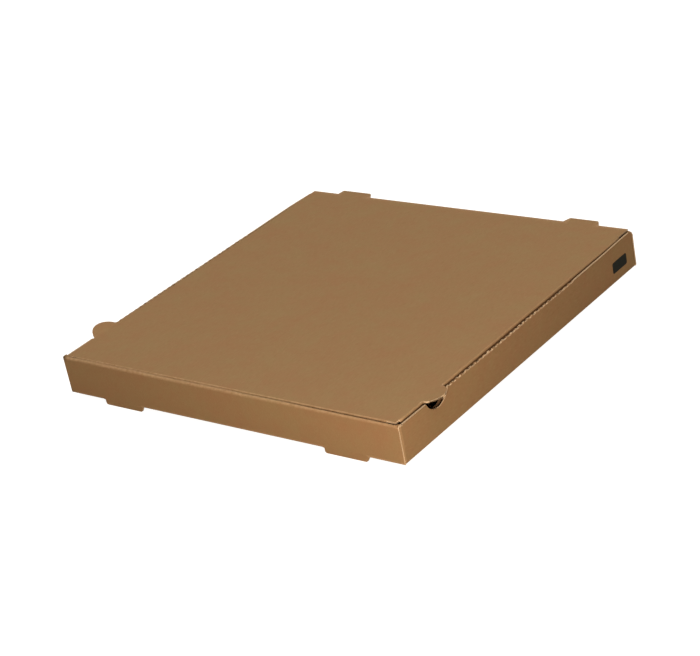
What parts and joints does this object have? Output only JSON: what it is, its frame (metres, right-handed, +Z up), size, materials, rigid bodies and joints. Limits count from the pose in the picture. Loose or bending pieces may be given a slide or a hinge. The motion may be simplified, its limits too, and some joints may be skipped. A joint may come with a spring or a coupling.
{
  "type": "pizza box",
  "caption": "Shallow square folded corrugated food box with a hinged lid, a rolled-over front wall, finger notches and locking tabs.",
  "frame": {"origin": "centre of the base panel's underside; the two front tabs reach 4.1 mm below it", "axes": "+X to the right along the front wall, +Y from the front wall to the back wall, +Z up through the lid"},
  "size_m": [0.3442, 0.3368, 0.0359],
  "materials": {
    "kraft_board": "matte brown kraft corrugated board"
  },
  "bodies": {
    "tray": {"tray": "kraft_board"},
    "lid": {"lid": "kraft_board"}
  },
  "joints": [
    {"name": "lid_hinge", "type": "hinge", "parent": "tray", "child": "lid", "pos_m": [0, 0.16425, 0.03105], "axis": [-1, 0, 0], "range_deg": [0, 180]}
  ]
}
